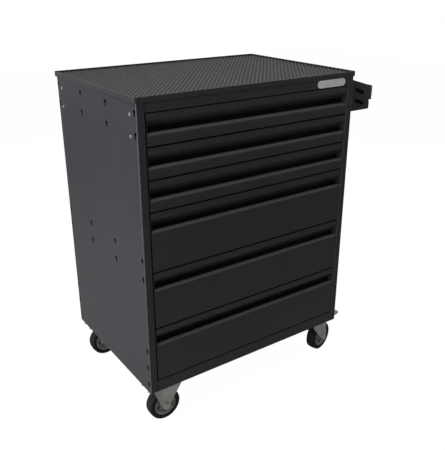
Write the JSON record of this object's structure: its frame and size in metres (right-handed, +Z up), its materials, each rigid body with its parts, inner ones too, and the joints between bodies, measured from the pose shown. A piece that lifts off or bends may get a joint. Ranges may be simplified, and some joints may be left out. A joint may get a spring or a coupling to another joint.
{
  "type": "tool cabinet",
  "caption": "Black sheet-steel roller tool cabinet with full-width pull drawers, side push handle, rubber-matted top and casters, two with brakes.",
  "frame": {"origin": "centre of the bounding box's floor, on the ground under the cabinet", "axes": "+Z up, -Y towards the user in front of the drawers, +X towards the push handle"},
  "size_m": [0.779, 0.4664, 0.891],
  "materials": {
    "powder_coat": "fine-texture black powder coat",
    "drawer_coat": "fine-texture black powder coat",
    "mat": "grey ribbed rubber",
    "badge": "satin",
    "zinc": "zinc plated",
    "slide_steel": "bright zinc plated",
    "hub": "grey moulded nylon",
    "tyre": "black rubber",
    "pedal": "light grey zinc plate",
    "plug": "black moulded plastic"
  },
  "bodies": {
    "cabinet": {"left_side_panel": "powder_coat", "right_side_panel": "powder_coat", "back_panel": "powder_coat", "bottom_panel": "powder_coat", "top_front_rail": "powder_coat", "bottom_front_rail": "powder_coat", "top_tray": "powder_coat", "rubber_mat": "mat", "badge_plate": "badge", "rivet_nuts": "zinc", "push_handle": "powder_coat", "handle_slot_plugs": "plug", "handle_screws": "zinc", "handle_nuts": "zinc", "uprights": "powder_coat", "cabinet_rails": "slide_steel", "caster_bolts": "zinc", "left_caster_axles": "zinc", "front_left_fork": "zinc", "back_left_fork": "zinc", "front_right_caster_plate": "zinc", "back_right_caster_plate": "zinc"},
    "drawer_1": {"drawer_1_front": "drawer_coat", "drawer_1_box": "drawer_coat", "drawer_1_runners": "slide_steel"},
    "middle_slides_1": {"drawer_1_middle_slides": "slide_steel"},
    "drawer_2": {"drawer_2_front": "drawer_coat", "drawer_2_box": "drawer_coat", "drawer_2_runners": "slide_steel"},
    "middle_slides_2": {"drawer_2_middle_slides": "slide_steel"},
    "drawer_3": {"drawer_3_front": "drawer_coat", "drawer_3_box": "drawer_coat", "drawer_3_runners": "slide_steel"},
    "middle_slides_3": {"drawer_3_middle_slides": "slide_steel"},
    "drawer_4": {"drawer_4_front": "drawer_coat", "drawer_4_box": "drawer_coat", "drawer_4_runners": "slide_steel"},
    "middle_slides_4": {"drawer_4_middle_slides": "slide_steel"},
    "drawer_5": {"drawer_5_front": "drawer_coat", "drawer_5_box": "drawer_coat", "drawer_5_runners": "slide_steel"},
    "middle_slides_5": {"drawer_5_middle_slides": "slide_steel"},
    "drawer_6": {"drawer_6_front": "drawer_coat", "drawer_6_box": "drawer_coat", "drawer_6_runners": "slide_steel"},
    "middle_slides_6": {"drawer_6_middle_slides": "slide_steel"},
    "front_left_rolling_wheel": {"front_left_wheel": "hub", "front_left_tyre": "tyre"},
    "front_right_swivel": {"front_right_fork": "zinc", "front_right_axle": "zinc"},
    "front_right_rolling_wheel": {"front_right_wheel": "hub", "front_right_tyre": "tyre"},
    "front_right_brake": {"front_right_brake_pedal": "pedal"},
    "back_left_rolling_wheel": {"back_left_wheel": "hub", "back_left_tyre": "tyre"},
    "back_right_swivel": {"back_right_fork": "zinc", "back_right_axle": "zinc"},
    "back_right_rolling_wheel": {"back_right_wheel": "hub", "back_right_tyre": "tyre"},
    "back_right_brake": {"back_right_brake_pedal": "pedal"}
  },
  "joints": [
    {"name": "drawer_1_slide", "type": "slide", "parent": "cabinet", "child": "drawer_1", "axis": [0, -1, 0], "range_m": [0, 0.38]},
    {"name": "middle_1_slide", "type": "slide", "parent": "cabinet", "child": "middle_slides_1", "axis": [0, -1, 0], "range_m": [0, 0.19]},
    {"name": "drawer_2_slide", "type": "slide", "parent": "cabinet", "child": "drawer_2", "axis": [0, -1, 0], "range_m": [0, 0.38]},
    {"name": "middle_2_slide", "type": "slide", "parent": "cabinet", "child": "middle_slides_2", "axis": [0, -1, 0], "range_m": [0, 0.19]},
    {"name": "drawer_3_slide", "type": "slide", "parent": "cabinet", "child": "drawer_3", "axis": [0, -1, 0], "range_m": [0, 0.38]},
    {"name": "middle_3_slide", "type": "slide", "parent": "cabinet", "child": "middle_slides_3", "axis": [0, -1, 0], "range_m": [0, 0.19]},
    {"name": "drawer_4_slide", "type": "slide", "parent": "cabinet", "child": "drawer_4", "axis": [0, -1, 0], "range_m": [0, 0.38]},
    {"name": "middle_4_slide", "type": "slide", "parent": "cabinet", "child": "middle_slides_4", "axis": [0, -1, 0], "range_m": [0, 0.19]},
    {"name": "drawer_5_slide", "type": "slide", "parent": "cabinet", "child": "drawer_5", "axis": [0, -1, 0], "range_m": [0, 0.38]},
    {"name": "middle_5_slide", "type": "slide", "parent": "cabinet", "child": "middle_slides_5", "axis": [0, -1, 0], "range_m": [0, 0.19]},
    {"name": "drawer_6_slide", "type": "slide", "parent": "cabinet", "child": "drawer_6", "axis": [0, -1, 0], "range_m": [0, 0.38]},
    {"name": "middle_6_slide", "type": "slide", "parent": "cabinet", "child": "middle_slides_6", "axis": [0, -1, 0], "range_m": [0, 0.19]},
    {"name": "front_left_spin", "type": "hinge", "parent": "cabinet", "child": "front_left_rolling_wheel", "pos_m": [-0.3305, -0.19171, 0.046], "axis": [0, 1, 0], "continuous": true},
    {"name": "front_right_swivel", "type": "hinge", "parent": "cabinet", "child": "front_right_swivel", "pos_m": [0.2225, -0.19171, 0.12], "axis": [0, 0, 1], "continuous": true},
    {"name": "front_right_spin", "type": "hinge", "parent": "front_right_swivel", "child": "front_right_rolling_wheel", "pos_m": [0.25173, -0.18496, 0.046], "axis": [-0.225, 0.9744, 0], "continuous": true},
    {"name": "front_right_brake", "type": "hinge", "parent": "front_right_swivel", "child": "front_right_brake", "pos_m": [0.23614, -0.18856, 0.0995], "axis": [-0.225, 0.9744, 0], "range_deg": [-5, 13]},
    {"name": "back_left_spin", "type": "hinge", "parent": "cabinet", "child": "back_left_rolling_wheel", "pos_m": [-0.3305, 0.18829, 0.046], "axis": [0, 1, 0], "continuous": true},
    {"name": "back_right_swivel", "type": "hinge", "parent": "cabinet", "child": "back_right_swivel", "pos_m": [0.2225, 0.18829, 0.12], "axis": [0, 0, 1], "continuous": true},
    {"name": "back_right_spin", "type": "hinge", "parent": "back_right_swivel", "child": "back_right_rolling_wheel", "pos_m": [0.25173, 0.19504, 0.046], "axis": [-0.225, 0.9744, 0], "continuous": true},
    {"name": "back_right_brake", "type": "hinge", "parent": "back_right_swivel", "child": "back_right_brake", "pos_m": [0.23614, 0.19144, 0.0995], "axis": [-0.225, 0.9744, 0], "range_deg": [-5, 13]}
  ],
  "couplings": [
    {"joint": "middle_1_slide", "follows": "drawer_1_slide", "ratio": 0.5},
    {"joint": "middle_2_slide", "follows": "drawer_2_slide", "ratio": 0.5},
    {"joint": "middle_3_slide", "follows": "drawer_3_slide", "ratio": 0.5},
    {"joint": "middle_4_slide", "follows": "drawer_4_slide", "ratio": 0.5},
    {"joint": "middle_5_slide", "follows": "drawer_5_slide", "ratio": 0.5},
    {"joint": "middle_6_slide", "follows": "drawer_6_slide", "ratio": 0.5}
  ]
}
